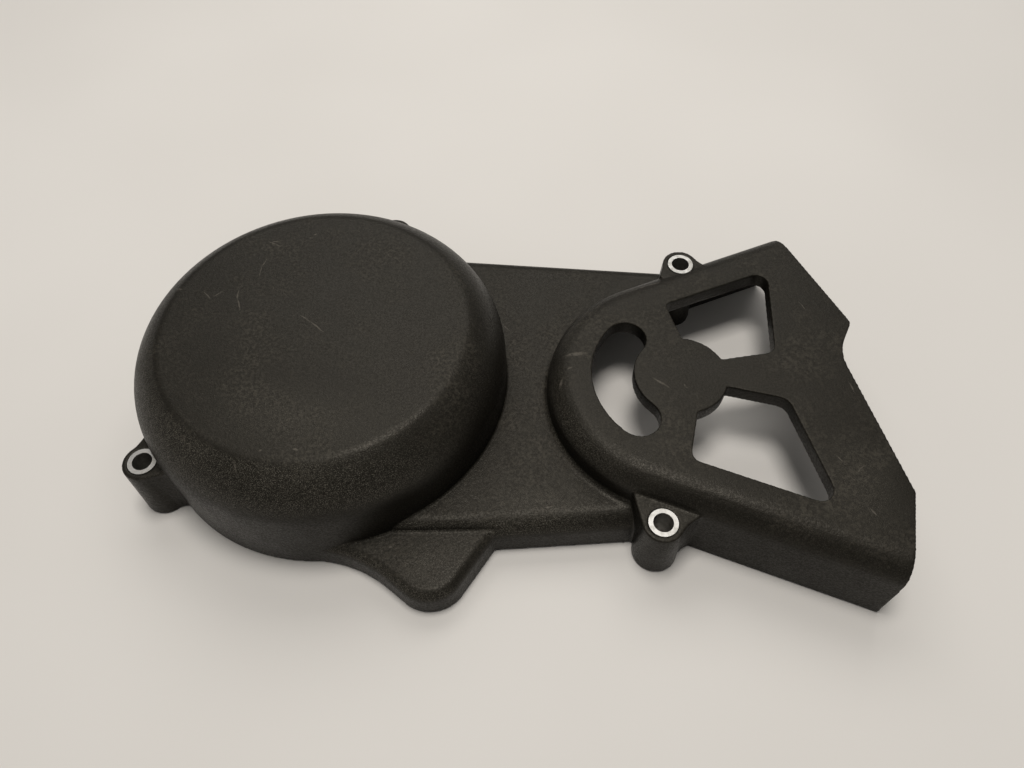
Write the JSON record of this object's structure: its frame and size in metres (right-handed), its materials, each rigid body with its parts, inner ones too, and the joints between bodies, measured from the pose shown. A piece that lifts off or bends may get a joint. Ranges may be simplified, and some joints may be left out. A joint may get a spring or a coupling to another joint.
{
  "type": "ignition cover",
  "caption": "Moulded engine side cover: a round dome over the flywheel, a low web and an open sprocket guard with three windows and sleeved bolt holes.",
  "frame": {"origin": "on the dome's axis, in the plane of the rim that sits on the engine", "axes": "+X from the dome to the sprocket guard, +Z away from the engine, +Y to the side of the upper chain run"},
  "size_m": [0.2575, 0.1606, 0.0472],
  "materials": {
    "black_plastic": "satin, fine grained mould texture",
    "sleeve_metal": "satin"
  },
  "bodies": {
    "root": {"cover": "black_plastic", "sleeve_front_left": "sleeve_metal", "sleeve_rear_left": "sleeve_metal", "sleeve_front_right": "sleeve_metal", "sleeve_rear_right": "sleeve_metal"}
  },
  "joints": []
}
